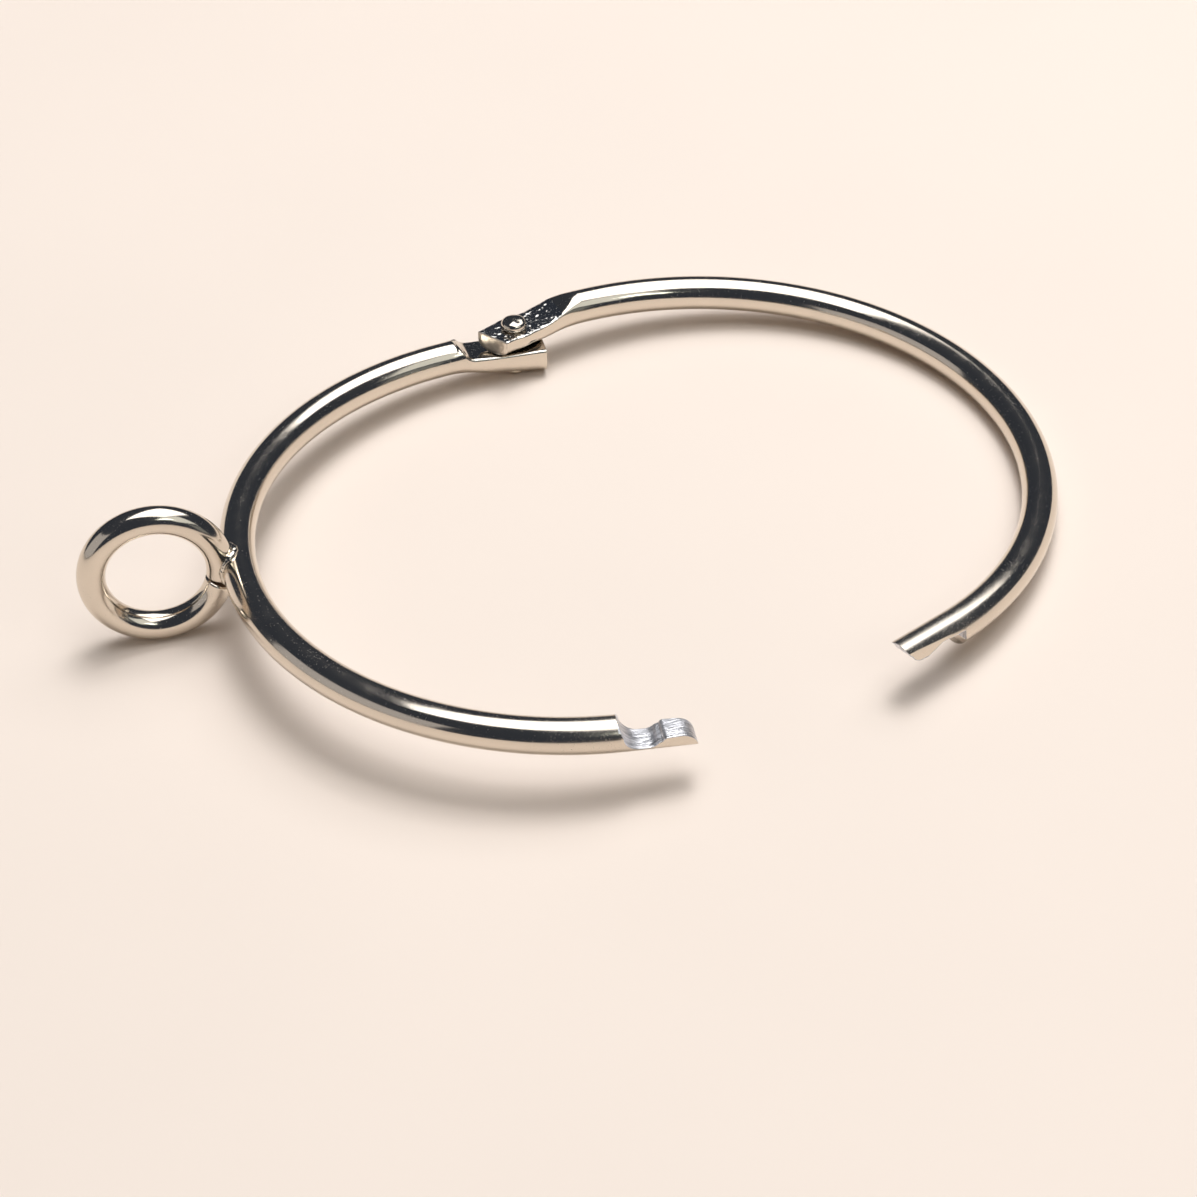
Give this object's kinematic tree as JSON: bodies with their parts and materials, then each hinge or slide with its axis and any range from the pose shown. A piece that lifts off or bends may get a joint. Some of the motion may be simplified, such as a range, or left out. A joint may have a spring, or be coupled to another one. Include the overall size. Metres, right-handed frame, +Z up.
{
  "type": "hinged curtain ring",
  "caption": "Round wire curtain ring in two hinged halves with a notched snap end and a closed eyelet for the curtain, standing open.",
  "frame": {"origin": "middle of the part's outline on the table it lies on, the ring standing open", "axes": "+X from the eyelet across the ring to the plain half, +Y towards the hinge, +Z up from the table"},
  "size_m": [0.078, 0.061, 0.0125],
  "materials": {
    "eyelet_half": "bright nickel plate",
    "plain_half": "bright nickel plate",
    "hinge_rivet": "nickel plate",
    "eyelet": "bright nickel plate"
  },
  "bodies": {
    "eyelet_side": {"eyelet_half": "eyelet_half", "eyelet": "eyelet", "hinge_rivet": "hinge_rivet"},
    "plain_side": {"plain_half": "plain_half"}
  },
  "joints": [
    {"name": "hinge", "type": "hinge", "parent": "eyelet_side", "child": "plain_side", "pos_m": [-0.00538, 0.02325, 0.00242], "axis": [0.0639, 0.0644, 0.9959], "range_deg": [-24.8, 120]}
  ]
}
